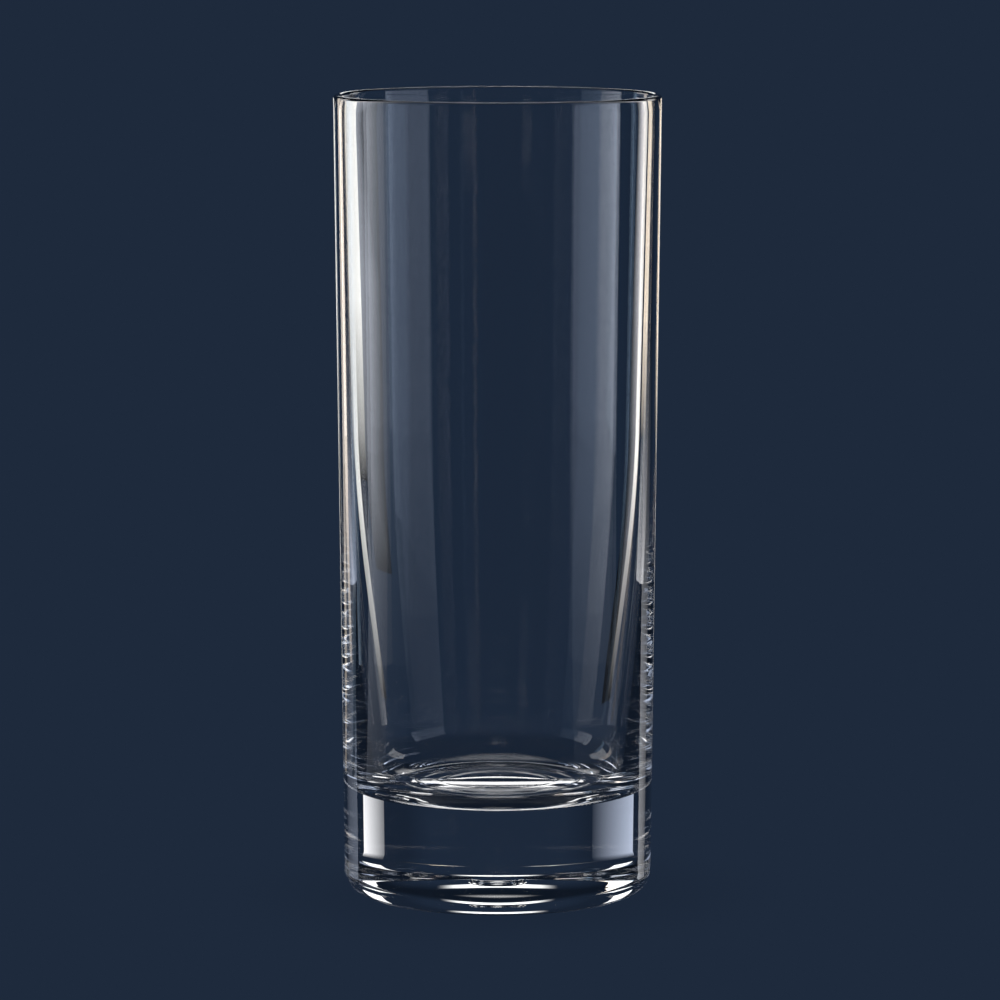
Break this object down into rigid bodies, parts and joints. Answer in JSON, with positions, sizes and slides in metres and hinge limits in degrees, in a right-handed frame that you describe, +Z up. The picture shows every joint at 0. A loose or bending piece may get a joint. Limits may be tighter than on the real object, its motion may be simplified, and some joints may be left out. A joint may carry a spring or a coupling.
{
  "type": "highball glass",
  "caption": "Tall straight clear drinking glass with a thin slightly tapered wall, a fire-polished rim and a heavy solid base, for long drinks.",
  "frame": {"origin": "middle of the circle that the glass stands on", "axes": "+Z up along the axis of the glass, towards the rim; X and Y lie in the table plane and are alike, because the glass is round"},
  "size_m": [0.064, 0.064, 0.1572],
  "materials": {
    "body_glass": "clear colourless glass, fire-polished",
    "base_glass": "clear colourless glass, polished, solid"
  },
  "bodies": {
    "root": {"cup": "body_glass", "base": "base_glass"}
  },
  "joints": []
}
